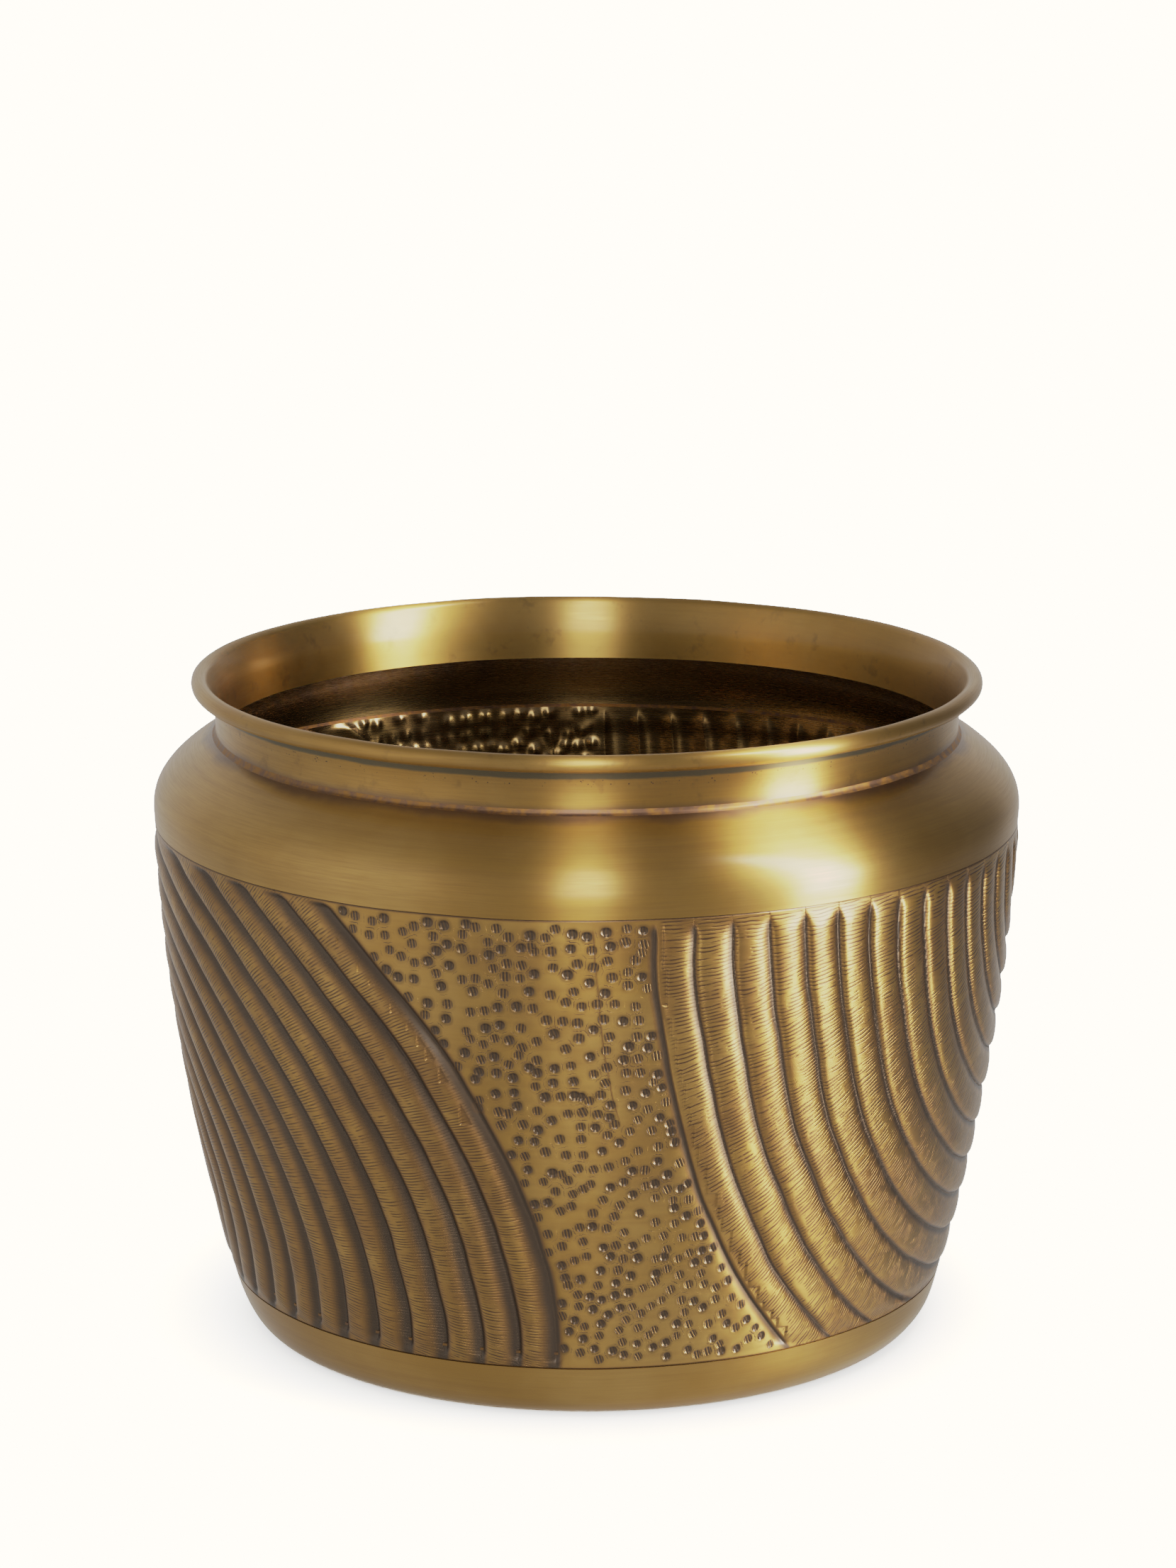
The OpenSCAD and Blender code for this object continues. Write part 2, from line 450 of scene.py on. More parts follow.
def punch_marks(top):
    """Places of the punched marks: azimuth, height, tilt, half width and depth of each."""
    draw = np.random.RandomState(5)
    marks = []

    def room(azimuth, height, gap):
        for mark in marks:
            across = MEAN_RADIUS * math.radians(azimuth - mark[0])
            if abs(across) < gap and math.hypot(across, height - mark[1]) < gap:
                return False
        return True

    def add(azimuth, height):
        down = 1.0 - (height - LOWER_LINE) / (UPPER_LINE - LOWER_LINE)
        halves, depths = DEEP_MARK if draw.uniform() < DEEP_SHARE else SHALLOW_MARK
        half = draw.uniform(*halves)
        depth = draw.uniform(*depths)
        lean = LEAN_AT_TOP + MORE_LEAN_BELOW * down + draw.normal(0, LEAN_SPREAD)
        marks.append((azimuth, height, lean, half, depth))

    def clearance(azimuth, height):
        """How far a spot is from the nearer fan's outermost groove."""
        spot = np.array([azimuth]), np.array([height])
        return min(-fan.place(*spot)[0][0] * fan.pitch for fan in (ARCH, BOWL))

    for start in FIELD_STARTS:
        for count in range(TRIES):
            azimuth = start + draw.uniform(0, FIELD_SPREAD)
            height = draw.uniform(LOWER_LINE + 3.0, top)
            clear = clearance(azimuth, height)
            in_row = count < ROW_TRIES
            if clear <= NEAREST or (in_row and clear >= ROW_FAR):
                continue
            if not room(azimuth, height, ROW_GAP if in_row else draw.uniform(*GAPS)):
                continue
            add(azimuth, height)
            if draw.uniform() < TWICE_SHARE:
                toward = draw.uniform(0, 2 * math.pi)
                aside = math.degrees(TWICE_APART * math.cos(toward) / MEAN_RADIUS)
                add(azimuth + aside, height + TWICE_APART * math.sin(toward))
    return marks


MARKS = punch_marks(UPPER_LINE - 2.6)
# From inside, the marks can be seen to run on up the lap
BACK_MARKS = MARKS + [mark for mark in punch_marks(LAP_TOP - 1.0) if mark[1] > UPPER_LINE + 1.0]


# The wall's mesh: where its columns start, and the distance between them, in degrees
MESH_START = -138.0
FIELD_STEP = 0.12
FAN_STEP = 0.26


def wall_azimuths(detail):
    """Columns of the wall's mesh: close together in the punched fields."""
    fields = [(-42.0, 40.0), (150.0, 222.0)]
    columns, here = [], MESH_START
    while here < MESH_START + 360.0:
        in_field = any(a <= here <= b for a, b in fields)
        columns.append(here)
        here += (FIELD_STEP if in_field else FAN_STEP) * detail
    return np.array(columns)


class Marks:
    """Presses the punch marks into a grid, and keeps each point's place in its mark."""

    # A mark changes nothing further from its middle than this, in mm
    REACH = 6.0
    FAR_AWAY = 9.0

    def __init__(self, shape):
        self.near = np.full(shape, self.FAR_AWAY)
        self.across = np.full(shape, self.FAR_AWAY)
        self.up = np.full(shape, self.FAR_AWAY)
        self.depth = np.zeros(shape)

    def stamp(self, azimuth, height, marks, relief, inside):
        """Presses every mark into relief, which is in mm, from outside or as seen inside."""
        rows = height[:, 0]
        order = np.argsort(rows)
        span = math.degrees(self.REACH / MEAN_RADIUS)
        for at, level, tilt, half, depth in marks:
            c = np.nonzero(np.abs(azimuth - at) < span)[0]
            first = np.searchsorted(rows[order], level - self.REACH)
            last = np.searchsorted(rows[order], level + self.REACH)
            r = order[first:last]
            if not len(c) or not len(r):
                continue
            window = np.ix_(r, c)
            x = MEAN_RADIUS * np.radians(azimuth[c] - at)[None, :]
            y = (rows[r] - level)[:, None]
            if inside:
                # Each mark shows inside as a round bump
                relief[window] -= (0.35 + depth) * np.exp(-((np.hypot(x, y) / 2.0) ** 2))
            else:
                self.press(window, x, y, math.radians(tilt), half, depth, relief)

    def press(self, window, x, y, tilt, half, depth, relief):
        """One mark seen from outside: its hole, the burr round it and the dent they lie in."""
        across = (x * math.cos(tilt) + y * math.sin(tilt)) / half
        up = (y * math.cos(tilt) - x * math.sin(tilt)) / half
        square = DEEP_SQUARE if depth > DEEP else SHALLOW_SQUARE
        edge = (np.abs(across) ** square + np.abs(up) ** square) ** (1 / square)
        hole = depth * (1.0 - ease(edge, 0.72, 1.1))
        burr = 0.03 * np.exp(-(((edge - 1.25) / 0.15) ** 2))
        dent = 0.12 * np.exp(-((np.hypot(x, y) / 2.6) ** 2))
        relief[window] += burr - dent
        relief[window] = np.minimum(relief[window], -hole)
        nearer = edge < self.near[window]
        kept = (self.near, edge), (self.across, across), (self.up, up), (self.depth, depth)
        for field, value in kept:
            field[window] = np.where(nearer, value, field[window])


# Width in mm of the stain at a border line
SEAM_STAIN = 0.6


def wall_relief(azimuth, height, marks, inside):
    """Relief in mm over a grid of the wall, with the values its material needs."""
    blunt = INSIDE_BLUNT if inside else 0.0
    # The grooves waver as hand-driven ones do
    sway = 0.05 * ripple(azimuth, height, 26, 26.0, 21)
    sway = sway + 0.018 * ripple(azimuth, height, 90, 9.0, 22)
    arch, arch_along = ARCH.place(azimuth, height)
    bowl, bowl_along = BOWL.place(azimuth, height)
    arch, bowl = arch + sway, bowl + sway
    arch_rise, arch_stain = fan_relief(ARCH, arch, height, blunt)
    bowl_rise, bowl_stain = fan_relief(BOWL, bowl, height, blunt)
    relief = arch_rise + bowl_rise
    stamped = Marks(relief.shape)
    stamped.stamp(azimuth[0], height, marks, relief, inside)
    relief += 0.10 * ripple(azimuth, height, 60, 14.0, 23)
    relief *= ease(top_line(blunt) - height, 0.3, 2.5) * ease(height - LOWER_LINE, 0.3, 3.5)
    in_arch = arch > bowl
    # A setting-out line was scratched beside the bowl, high up in the punched field
    scratch = np.exp(-(((bowl + 1.5) * BOWL.pitch / 0.22) ** 2))
    scratch *= ease(height, 100.0, 116.0) * ease(UPPER_LINE - height, 1.0, 6.0)
    relief -= 0.08 * scratch
    # The two border lines are dark seams
    border = np.exp(-(((UPPER_LINE - height) / SEAM_STAIN) ** 2))
    border = border + np.exp(-(((height - LOWER_LINE) / SEAM_STAIN) ** 2))
    border = np.where(height < UPPER_LINE + 0.1, 0.9 * border, 0.0)
    values = {
        "groove": np.max([arch_stain, bowl_stain, 0.55 * scratch, border], axis=0),
        "fan_count": np.where(in_arch, arch, bowl),
        "fan_along": np.where(in_arch, arch_along, bowl_along) * MM,
        "mark_across": stamped.across,
        "mark_up": stamped.up,
        "mark_depth": stamped.depth,
        "mark_near": 1.0 - ease(stamped.near, 1.6, 2.2),
    }
    return relief, values


def pressed_through(azimuth, height, facing):
    """The pattern as it shows on the dish's lap, inside the wall."""
    raised = wall_relief(azimuth, height, MARKS, True)[0]
    lapped = ease(height - LOWER_LINE, 0.0, 1.0)
    return raised * np.where(facing < 0, 1.0, lapped)


def chased_wall():
    """The wall, with the flutes and punch marks raised and sunk in its two skins."""
    detail = 1.0
    loop = outline("chased_wall")
    points, corner = fine(loop, 0.34 * detail, True)
    normal = outward(points, True)
    # The inner skin is blunter, so it keeps only one sample in three
    inner = (normal[:, 0] < -0.5) & ~corner
    keep = ~inner | (np.arange(len(points)) % 3 == 0)
    points, corner, normal = points[keep], corner[keep], normal[keep]
    azimuth = wall_azimuths(detail)
    grid = azimuth[None, :] + 0 * points[:, :1]
    height = points[:, 1:] + 0 * grid
    inside = normal[:, 0] < 0
    relief, values = wall_relief(grid[~inside], height[~inside], MARKS, False)
    whole = np.zeros_like(grid)
    whole[~inside] = relief
    whole[inside] = wall_relief(grid[inside], height[inside], BACK_MARKS, True)[0]
    out, up = hand_made(grid, height)
    radius = points[:, :1] + whole * np.abs(normal[:, :1]) + out
    tall = height + whole * np.sign(normal[:, :1]) * normal[:, 1:] + up
    piece = spun_mesh("chased_wall_brass", radius, tall, azimuth, True, arc_length(points))
    mark_sharp(piece, corner, len(azimuth))
    for name, value in values.items():
        whole = np.zeros_like(grid)
        whole[~inside] = value
        add_value(piece, name, whole)
    add_value(piece, "inside", inside[:, None] + 0.0 * grid)
    return piece


# ---- Materials -----------------------------------------------------------------------

BRASS = (0.46, 0.262, 0.062)
PALE_BRASS = (0.54, 0.335, 0.10)
BROWN_BRASS = (0.32, 0.165, 0.052)
STAIN = (0.15, 0.082, 0.038)
PATINA = (0.100, 0.068, 0.044)
# Purple-brown tarnish, also used as painted shade in the neck's crease
TARNISH_AND_SHADE = (0.20, 0.118, 0.075)
UNDER_LIP_GREY_GREEN = (0.13, 0.118, 0.075)
# Shade inside the pot is painted into the inner side's colour, which is multiplied by this
INSIDE_PAINTED_SHADE = (0.44, 0.46, 0.60)
# Heights of the finest detail, in metres
SATIN_SCRATCH = 0.000006
CHASED_STROKE = 0.00012
BRAZE_LUMP = 0.00006
STROKES_PER_METRE = 950.0
# How square the stain in a punch mark is
MARK_SQUARE = 2.6


RANGE_INPUTS = ("From Min", "From Max", "To Min", "To Max")


class Recipe:
    """Builds a material's nodes with one short call each."""

    def __init__(self, name, metallic=1.0, anisotropic=0.0, coat=0.0, coat_roughness=0.2):
        self.material = bpy.data.materials.new(name)
        self.material.use_nodes = True
        self.tree = self.material.node_tree
        self.shader = self.tree.nodes["Principled BSDF"]
        self.shader.inputs["Metallic"].default_value = metallic
        self.shader.inputs["Anisotropic"].default_value = anisotropic
        self.shader.inputs["Coat Weight"].default_value = coat
        self.shader.inputs["Coat Roughness"].default_value = coat_roughness
        if anisotropic:
            round_z = self.node("ShaderNodeTangent")
            round_z.direction_type = "RADIAL"
            round_z.axis = "Z"
            self.link(round_z.outputs[0], self.shader.inputs["Tangent"])
            # Level brushing spreads a highlight up and down
            self.shader.inputs["Anisotropic Rotation"].default_value = 0.25

    def node(self, kind, **settings):
        made = self.tree.nodes.new(kind)
        for key, value in settings.items():
            setattr(made, key, value)
        return made

    def link(self, output, socket):
        self.tree.links.new(output, socket)

    def feed(self, socket, value):
        if isinstance(value, bpy.types.NodeSocket):
            self.link(value, socket)
        elif value is not None:
            socket.default_value = value

    def value(self, name):
        return self.node("ShaderNodeAttribute", attribute_name=name).outputs["Fac"]

    def math(self, operation, a, b=None, c=None):
        made = self.node("ShaderNodeMath", operation=operation)
        for socket, value in zip(made.inputs, (a, b, c)):
            self.feed(socket, value)
        return made.outputs[0]

    def ramp(self, value, start, end, low=0.0, high=1.0):
        """low at start, high at end, and smooth in between."""
        made = self.node("ShaderNodeMapRange", interpolation_type="SMOOTHSTEP")
        self.feed(made.inputs["Value"], value)
        for key, setting in zip(RANGE_INPUTS, (start, end, low, high)):
            self.feed(made.inputs[key], setting)
        return made.outputs["Result"]

    def vector(self, x, y, z):
        made = self.node("ShaderNodeCombineXYZ")
        for socket, value in zip(made.inputs, (x, y, z)):
            self.feed(socket, value)
        return made.outputs[0]

    def noise(self, where, scale=1.0, detail=2.0, roughness=0.5):
        made = self.node("ShaderNodeTexNoise")
        self.feed(made.inputs["Vector"], where)
        made.inputs["Scale"].default_value = scale
        made.inputs["Detail"].default_value = detail
        made.inputs["Roughness"].default_value = roughness
        return made.outputs["Fac"]

    def mix(self, share, a, b, blend="MIX"):
        made = self.node("ShaderNodeMix", data_type="RGBA", blend_type=blend)
        self.feed(made.inputs["Factor"], share)
        for key, colour in (("A", a), ("B", b)):
            socket = [s for s in made.inputs if s.name == key and s.type == "RGBA"][0]
            self.feed(socket, (*colour, 1.0) if isinstance(colour, tuple) else colour)
        return [s for s in made.outputs if s.type == "RGBA"][0]

    def place(self):
        """The object's own coordinates, in metres."""
        return self.node("ShaderNodeTexCoord").outputs["Object"]

    def finish(self, colour, roughness, height, depth):
        """Wires up the shader. height is 0 to 1, and depth is its size in metres."""
        self.feed(self.shader.inputs["Base Color"], colour)
        self.feed(self.shader.inputs["Roughness"], roughness)
        bump = self.node("ShaderNodeBump")
        bump.inputs["Distance"].default_value = depth
        self.feed(bump.inputs["Height"], height)
        self.link(bump.outputs[0], self.shader.inputs["Normal"])
        return self.material


def brushing(recipe, where, fineness):
    """Level scratches from the lathe, fine and broad: long around the pot, and thin across."""
    run = recipe.value("along_outline")
    parts = recipe.node("ShaderNodeSeparateXYZ")
    recipe.link(where, parts.inputs[0])

    def stretched(around, across):
        x = recipe.math("MULTIPLY", parts.outputs["X"], around)
        y = recipe.math("MULTIPLY", parts.outputs["Y"], around)
        return recipe.vector(x, y, recipe.math("MULTIPLY", run, across))

    fine_lines = recipe.noise(stretched(60.0, fineness), detail=3.0, roughness=0.65)
    broad_lines = recipe.noise(stretched(14.0, fineness * 0.16), detail=2.0)
    return fine_lines, broad_lines


def paint_inside_shade_and_smooth(recipe, tone, rough):
    """Paints shade on the pot's inner side, making its colour darker, and makes it smoother."""
    inside = recipe.value("inside")
    # Painted shade: the inner side's colour is darkened, as shade falls inside the pot
    shade = recipe.mix(inside, (1.0, 1.0, 1.0), INSIDE_PAINTED_SHADE)
    rough = recipe.math("MULTIPLY_ADD", inside, -0.12, rough)
    return recipe.mix(1.0, tone, shade, "MULTIPLY"), rough


def outside_only(recipe, share):
    """The share, faded out on the pot's inner side."""
    return recipe.math("MULTIPLY", share, recipe.ramp(recipe.value("inside"), 0.0, 0.5, 1.0, 0.0))


def scratch_height(recipe, fine_lines, broad_lines):
    """The two kinds of scratch as one height."""
    return recipe.math("ADD", fine_lines, recipe.math("MULTIPLY", broad_lines, 0.6))


def crease_tarnish_and_shade(recipe, where):
    """Tarnish and painted shade in the crease, fading out 3 or 4 mm above and below it."""
    uneven = recipe.math("MULTIPLY_ADD", recipe.noise(where, 45.0, 3.0), 0.004, -0.002)
    above = recipe.math("ADD", recipe.math("SUBTRACT", recipe.value("level"), CREASE * MM), uneven)
    # Painted shade with tarnish: a darker band round the crease, where shade falls
    high = recipe.ramp(above, 0.0, 0.0042, 0.85, 0.0)
    low = recipe.ramp(above, -0.0032, -0.0006)
    return outside_only(recipe, recipe.math("MULTIPLY", high, low))


def satin_brass(name, stains_and_shade, dim_inside, anisotropic=0.95, roughness=(0.36, 0.42)):
    """Lathe-brushed aged brass. stains_and_shade are (function, colour), each where it is darker:
    stains, and tarnish with painted shade at the crease.
    """
    recipe = Recipe(name, anisotropic=anisotropic, coat=0.45, coat_roughness=0.16)
    where = recipe.place()
    fine_lines, broad_lines = brushing(recipe, where, 2600.0)
    cloud = recipe.noise(where, 14.0, 4.0, 0.6)
    tone = recipe.mix(recipe.ramp(cloud, 0.35, 0.7), BRASS, PALE_BRASS)
    brushed = recipe.ramp(recipe.value("inside"), 0.0, 1.0, 0.2, 0.04)
    for lines in (broad_lines, fine_lines):
        share = recipe.math("MULTIPLY", recipe.ramp(lines, 0.38, 0.75), brushed)
        tone = recipe.mix(share, tone, BROWN_BRASS)
    # Each mix darkens the colour: stains, and at the crease painted shade as well
    for stain, colour in stains_and_shade:
        tone = recipe.mix(stain(recipe, where), tone, colour)
    rough = recipe.ramp(fine_lines, 0.3, 0.7, *roughness)
    if dim_inside:
        # The inner side gets painted shade
        tone, rough = paint_inside_shade_and_smooth(recipe, tone, rough)
    fade_inside = recipe.ramp(recipe.value("inside"), 0.0, 1.0, 1.0, 0.06)
    height = recipe.math("MULTIPLY", scratch_height(recipe, fine_lines, broad_lines), fade_inside)
    return recipe.finish(tone, rough, height, SATIN_SCRATCH)


def tool_strokes(recipe, count, along):
    """Short strokes across each flute, about a millimetre apart, in broken patches."""
    across = recipe.math("FRACT", count)
    flute = recipe.math("FLOOR", count)

    def streaks(near, wide, detail):
        along_flute = recipe.math("MULTIPLY", along, near)
        across_flute = recipe.math("MULTIPLY", across, wide)
        return recipe.noise(recipe.vector(along_flute, across_flute, flute), 1.0, detail)

    drift = streaks(120.0, 0.7, 2.0)
    wave = recipe.math("MULTIPLY_ADD", along, STROKES_PER_METRE, recipe.math("MULTIPLY", drift, 2.4))
    wave = recipe.math("SINE", recipe.math("MULTIPLY", wave, 2 * math.pi))
    broken = streaks(1300.0, 1.6, 1.0)
    patch = streaks(120.0, 2.4, 2.0)
    stroke = recipe.math("MULTIPLY", recipe.ramp(wave, -0.2, 0.8), recipe.ramp(broken, 0.34, 0.52))
    stroke = recipe.math("MULTIPLY", stroke, recipe.ramp(patch, 0.30, 0.46))
    return recipe.math("MULTIPLY", stroke, recipe.ramp(count, 0.1, 0.25))


def mark_shape(recipe):
    """A punched mark's bottom, the ridges in it, and the stain round it, each from 0 to 1."""
    a, b = recipe.value("mark_across"), recipe.value("mark_up")
    near, depth = recipe.value("mark_near"), recipe.value("mark_depth")
    powers = [recipe.math("POWER", recipe.math("ABSOLUTE", side), MARK_SQUARE) for side in (a, b)]
    edge = recipe.math("POWER", recipe.math("ADD", *powers), 1 / MARK_SQUARE)
    bottom = recipe.math("MULTIPLY", recipe.ramp(edge, 0.88, 1.2, 1.0, 0.0), near)
    deep = recipe.ramp(depth, 0.42, 0.6)
    haloed = recipe.math("MULTIPLY_ADD", deep, 0.6, 0.4)
    ridges = recipe.ramp(recipe.math("COSINE", recipe.math("MULTIPLY", a, 9.4)), -0.3, 0.8)
    ridges = recipe.math("MULTIPLY", ridges, recipe.math("MULTIPLY_ADD", deep, -0.65, 0.9))
    halo = recipe.math("MULTIPLY", near, haloed)
    halo = recipe.math("MULTIPLY", recipe.ramp(edge, 0.9, 2.0, 1.0, 0.0), halo)
    return bottom, ridges, halo


def chased_brass():
    """Aged brass with dark patina in its grooves and fine tool marks across its flutes."""
    recipe = Recipe("chased_brass", anisotropic=0.75, coat=0.5, coat_roughness=0.2)
    where = recipe.place()
    fine_lines, broad_lines = brushing(recipe, where, 2200.0)
    count = recipe.value("fan_count")
    stroke = tool_strokes(recipe, count, recipe.value("fan_along"))
    in_fan = recipe.ramp(count, 0.0, 0.12)
    cloud = recipe.noise(where, 22.0, 4.0, 0.62)
    blotch = recipe.noise(where, 60.0, 3.0, 0.6)
    tone = recipe.mix(recipe.ramp(cloud, 0.35, 0.7, 0.0, 0.8), BRASS, PALE_BRASS)
    # The flutes are browner than the punched fields
    browner = recipe.math("MULTIPLY", in_fan, recipe.ramp(blotch, 0.35, 0.7, 0.15, 0.75))
    tone = recipe.mix(browner, tone, BROWN_BRASS)
    tone = recipe.mix(recipe.ramp(broad_lines, 0.4, 0.75, 0.0, 0.25), tone, BROWN_BRASS)
    patches = recipe.noise(where, 34.0, 2.0, 0.5)
    tone = recipe.mix(recipe.ramp(patches, 0.48, 0.72, 0.0, 0.5), tone, BROWN_BRASS)
    tone = recipe.mix(stroke, tone, STAIN)
    uneven = recipe.math("SUBTRACT", blotch, 0.5)
    groove = recipe.math("MULTIPLY_ADD", uneven, 0.3, recipe.value("groove"))
    tone = recipe.mix(recipe.ramp(groove, 0.02, 0.45, 0.0, 0.85), tone, BROWN_BRASS)
    dark = recipe.ramp(groove, 0.15, 0.95)
    tone = recipe.mix(dark, tone, PATINA)
    mark, ridges, halo = mark_shape(recipe)
    tone = recipe.mix(recipe.math("MULTIPLY", halo, 0.6), tone, STAIN)
    filled = recipe.math("MULTIPLY", mark, recipe.math("MULTIPLY_ADD", ridges, -0.5, 1.0))
    tone = recipe.mix(filled, tone, PATINA)
    ridge = recipe.math("MULTIPLY", ridges, mark)
    tone = recipe.mix(recipe.math("MULTIPLY", ridge, 0.6), tone, BROWN_BRASS)
    rough = recipe.ramp(fine_lines, 0.3, 0.7, 0.35, 0.42)
    rough = recipe.math("ADD", rough, recipe.math("MULTIPLY", dark, 0.1))
    # The inner side gets painted shade
    tone, rough = paint_inside_shade_and_smooth(recipe, tone, rough)
    scratches = recipe.math("MULTIPLY", scratch_height(recipe, fine_lines, broad_lines), 0.06)
    height = recipe.math("SUBTRACT", scratches, recipe.math("MULTIPLY", stroke, 0.6))
    height = recipe.math("ADD", height, recipe.math("MULTIPLY", ridge, 0.5))
    fade_inside = recipe.ramp(recipe.value("inside"), 0.0, 1.0, 1.0, 0.1)
    height = recipe.math("MULTIPLY", height, fade_inside)
    return recipe.finish(tone, rough, height, CHASED_STROKE)


def below_lip(recipe):
    """How far down from the foot of the rolled lip, in metres."""
    return recipe.math("SUBTRACT", LIP_FOOT * MM, recipe.value("level"))


def under_roll(recipe, where):
    """A green-grey band tucked under the rolled lip, outside."""
    uneven = recipe.math("MULTIPLY_ADD", recipe.noise(where, 60.0, 3.0), 0.0014, -0.0007)
    below = recipe.math("ADD", below_lip(recipe), uneven)
    upper = recipe.ramp(below, -0.0008, 0.0)
    lower = recipe.ramp(below, 0.0026, 0.0036, 0.9, 0.0)
    return outside_only(recipe, recipe.math("MULTIPLY", upper, lower))


def small_pits(recipe, where):
    """Dark specks in a band just below the rolled lip."""
    cells = recipe.node("ShaderNodeTexVoronoi")
    recipe.feed(cells.inputs["Vector"], where)
    cells.inputs["Scale"].default_value = 900.0
    speck = recipe.ramp(cells.outputs["Distance"], 0.16, 0.3, 0.9, 0.0)
    below = below_lip(recipe)
    upper = recipe.ramp(below, 0.003, 0.0038)
    lower = recipe.ramp(below, 0.005, 0.0066, 1.0, 0.0)
    # Only some of the cells have a speck
    chosen = recipe.ramp(recipe.noise(where, 420.0, 1.0), 0.5, 0.6)
    speck = recipe.math("MULTIPLY", speck, chosen)
    return outside_only(recipe, recipe.math("MULTIPLY", speck, recipe.math("MULTIPLY", upper, lower)))


def flecks(recipe, where):
    """Cloudy age spots on the collar and its rolled lip."""
    return recipe.ramp(recipe.noise(where, 130.0, 3.0, 0.65), 0.56, 0.74, 0.0, 0.28)


def braze():
    """Purple-brown braze metal, dressed nearly smooth. In the neck's crease its dark colour is also
    painted shade.
    """
    recipe = Recipe("braze_metal")
    lumps = recipe.noise(recipe.place(), 260.0, 4.0, 0.6)
    # The dark purple-brown is partly painted shade, carrying the crease's darker band onto the braze
    tone = recipe.mix(recipe.ramp(lumps, 0.35, 0.65), TARNISH_AND_SHADE, BROWN_BRASS)
    return recipe.finish(tone, recipe.ramp(lumps, 0.3, 0.7, 0.32, 0.42), lumps, BRAZE_LUMP)


# ---- Pieces --------------------------------------------------------------------------


def fit(piece, node, material):
    """Puts a finished piece in its CAD node's place."""
    piece.data.materials.append(material)
    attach(piece, "root")
    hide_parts(node)


plain = satin_brass("satin_brass", [(crease_tarnish_and_shade, TARNISH_AND_SHADE)], dim_inside=True)
dish = satin_brass("dish_brass", [], dim_inside=True, anisotropic=0.6, roughness=(0.30, 0.35))
collar = satin_brass(
    "collar_brass",
    [(flecks, STAIN), (crease_tarnish_and_shade, TARNISH_AND_SHADE), (under_roll, UNDER_LIP_GREY_GREEN), (small_pits, PATINA)],
    dim_inside=False,
)
braze_metal = braze()

fit(chased_wall(), "chased_wall", chased_brass())
fit(spin("base_dish", "base_dish_brass", 0.7, 1080, pressed_through), "base_dish", dish)
fit(spin("shoulder_ring", "shoulder_ring_brass", 0.6, 1080), "shoulder_ring", plain)
fit(spin("neck_collar", "neck_collar_brass", 0.35, 1080), "neck_collar", collar)
fit(spin("rim_wire", "rim_wire_brass", 0.5, 720), "rim_wire", plain)
for node in ("base_braze", "shoulder_braze", "neck_braze"):
    fit(spin(node, node + "_metal", 0.3, 1080), node, braze_metal)


# ---- Stage ---------------------------------------------------------------------------


def floor():
    """A wide pale floor that goes on past the horizon."""
    half = 30.0
    corners = [(-half, -half, 0), (half, -half, 0), (half, half, 0), (-half, half, 0)]
    mesh = bpy.data.meshes.new("floor")
    mesh.from_pydata(corners, [], [(0, 1, 2, 3)])
    made = bpy.data.objects.new("floor", mesh)
    bpy.context.scene.collection.objects.link(made)
    recipe = Recipe("pale_floor", metallic=0.0)
    recipe.shader.inputs["Base Color"].default_value = (0.9, 0.885, 0.85, 1.0)
    recipe.shader.inputs["Roughness"].default_value = 1.0
    recipe.shader.inputs["Specular IOR Level"].default_value = 0.0
    mesh.materials.append(recipe.material)
    # The metal reflects the dimmer world below the horizon instead
    made.visible_glossy = False
    made.visible_shadow = False


def overhead_light():
    """Lights the floor evenly past white. The metal doesn't reflect it."""
    data = bpy.data.lights.new("overhead", "SUN")
    data.energy = 50.0
    data.angle = math.radians(130)
    lamp = bpy.data.objects.new("overhead", data)
    lamp.location = (0, 0, 2)
    lamp.visible_glossy = False
    bpy.context.scene.collection.objects.link(lamp)


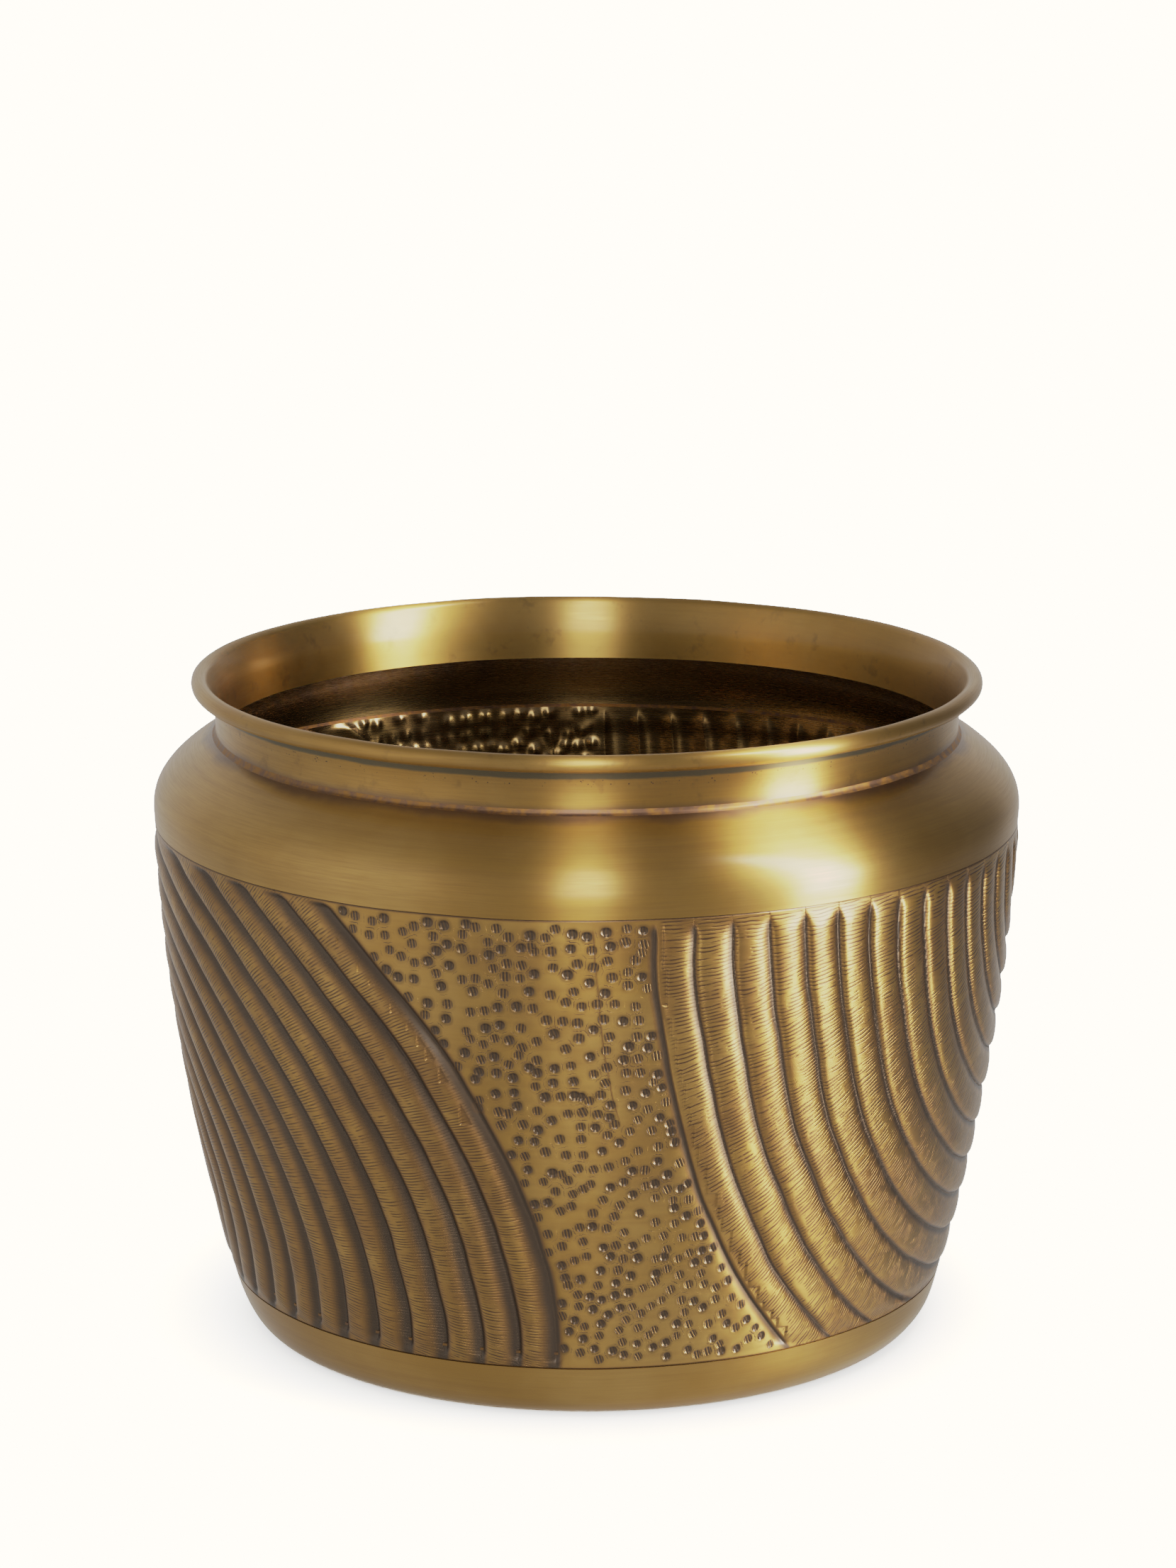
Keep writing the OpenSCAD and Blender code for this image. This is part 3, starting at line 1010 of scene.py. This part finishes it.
class Sky:
    """The nodes of the room that the metal reflects."""

    def __init__(self):
        self.world = bpy.data.worlds.new("studio")
        self.world.use_nodes = True
        self.tree = self.world.node_tree
        where = self.tree.nodes.new("ShaderNodeTexCoord").outputs["Generated"]
        parts = self.tree.nodes.new("ShaderNodeSeparateXYZ")
        self.tree.links.new(where, parts.inputs[0])
        x, y, z = parts.outputs
        turn = self.math("ARCTAN2", x, self.math("MULTIPLY", y, -1.0))
        self.azimuth = self.math("MULTIPLY", turn, 180.0 / math.pi)
        self.elevation = self.math("MULTIPLY", self.math("ARCSINE", z), 180.0 / math.pi)

    def math(self, operation, *values):
        made = self.tree.nodes.new("ShaderNodeMath")
        made.operation = operation
        for socket, value in zip(made.inputs, values):
            if isinstance(value, bpy.types.NodeSocket):
                self.tree.links.new(value, socket)
            else:
                socket.default_value = value
        return made.outputs[0]

    def rise(self, value, start, end, low=0.0, high=1.0):
        """low at start, high at end, and smooth in between."""
        made = self.tree.nodes.new("ShaderNodeMapRange")
        made.interpolation_type = "SMOOTHSTEP"
        for key, setting in zip(RANGE_INPUTS, (start, end, low, high)):
            made.inputs[key].default_value = setting
        self.tree.links.new(value, made.inputs["Value"])
        return made.outputs["Result"]

    def between(self, value, low, high, soft):
        """1 between low and high, with edges that are soft to both sides."""
        up = self.rise(value, low - soft, low + soft)
        down = self.rise(value, high - soft, high + soft, 1.0, 0.0)
        return self.math("MULTIPLY", up, down)

    def around(self, stops):
        """Brightness against azimuth, from (degrees, brightness) stops."""
        curve = self.tree.nodes.new("ShaderNodeValToRGB")
        turn = self.math("MULTIPLY_ADD", self.azimuth, 1.0 / 360.0, 0.5)
        self.tree.links.new(turn, curve.inputs["Fac"])
        ramp = curve.color_ramp
        ramp.interpolation = "EASE"
        while len(ramp.elements) < len(stops):
            ramp.elements.new(0.5)
        for element, (degrees, level) in zip(ramp.elements, stops):
            element.position = (degrees + 180.0) / 360.0
            element.color = (level, level, level, 1.0)
        return curve.outputs["Color"]

    def blend(self, share, a, b):
        """a where share is 0, and b where it is 1."""
        rest = self.math("SUBTRACT", 1.0, share)
        return self.math("ADD", self.math("MULTIPLY", rest, a), self.math("MULTIPLY", share, b))

    def window(self, azimuth, low, high, strength):
        """A tall soft window, as wide as azimuth says."""
        wide = self.between(self.azimuth, *azimuth, 2.0)
        tall = self.between(self.elevation, low, high, 7.0)
        return self.math("MULTIPLY", self.math("MULTIPLY", wide, tall), strength)


# Brightness of the room's ceiling
CEILING = 0.27


def surroundings():
    """A dim room, paler to the left and behind, with two tall windows in front."""
    sky = Sky()
    walls = sky.around([
        (-180, 0.60), (-140, 0.60), (-112, 0.50), (-88, 0.66), (-64, 0.92), (-46, 0.86),
        (-28, 0.54), (-14, 0.36), (34, 0.34), (88, 0.24), (104, 0.16), (130, 0.17),
        (152, 0.45), (168, 0.62), (180, 0.60),
    ])
    ground = sky.around([
        (-180, 0.50), (-152, 0.36), (-120, 0.42), (-90, 0.46), (-50, 0.40), (-10, 0.50),
        (90, 0.56), (112, 0.58), (150, 0.60), (180, 0.50),
    ])
    level = sky.blend(sky.rise(sky.elevation, 28.0, 62.0), walls, CEILING)
    level = sky.blend(sky.rise(sky.elevation, -43.0, -8.0, 1.0, 0.0), level, ground)
    level = sky.math("ADD", level, sky.window((-7, 7), 0, 60, 5.5))
    level = sky.math("ADD", level, sky.window((58, 73), -18, 60, 21.0))
    back = sky.tree.nodes["Background"]
    back.inputs["Color"].default_value = (1.0, 0.985, 0.955, 1.0)
    sky.tree.links.new(level, back.inputs["Strength"])
    bpy.context.scene.world = sky.world


# Brightness that comes out as white
WHITE = 9.0


def photographic_response():
    """Rolls bright reflections off slowly, and ends at a slightly warm white."""
    view = bpy.context.scene.view_settings
    view.view_transform = "Standard"
    view.use_curve_mapping = True
    curves = view.curve_mapping
    curves.extend = "HORIZONTAL"
    curves.white_level = (WHITE, WHITE, WHITE)
    rolled = (
        (0.0, 0.0), (0.3, 0.3), (0.45, 0.42), (0.74, 0.55), (1.1, 0.635), (1.2, 0.65),
        (2.0, 0.70), (2.9, 0.735), (4.7, 0.78), (7.0, 0.88),
    )
    for curve, top in zip(curves.curves, (1.0, 0.983, 0.94)):
        stops = [(x / WHITE, y) for x, y in rolled] + [(1.0, top)]
        while len(curve.points) < len(stops):
            curve.points.new(0.5, 0.5)
        for point, stop in zip(curve.points, stops):
            point.location = stop
            point.handle_type = "VECTOR"
    curves.update()


# The camera stands in front of the pot and looks down at it: metres and degrees
LENS = 107.4
CAMERA_PLACE = (0.0005, -1.581, 0.555)
LOOK_DOWN = 13.1


def camera():
    """A long lens from a metre and a half away."""
    data = bpy.data.cameras.new("camera")
    data.lens = LENS
    made = bpy.data.objects.new("camera", data)
    made.location = CAMERA_PLACE
    made.rotation_euler = (math.radians(90 - LOOK_DOWN), 0, 0)
    bpy.context.scene.collection.objects.link(made)
    bpy.context.scene.camera = made


floor()
overhead_light()
surroundings()
camera()
photographic_response()
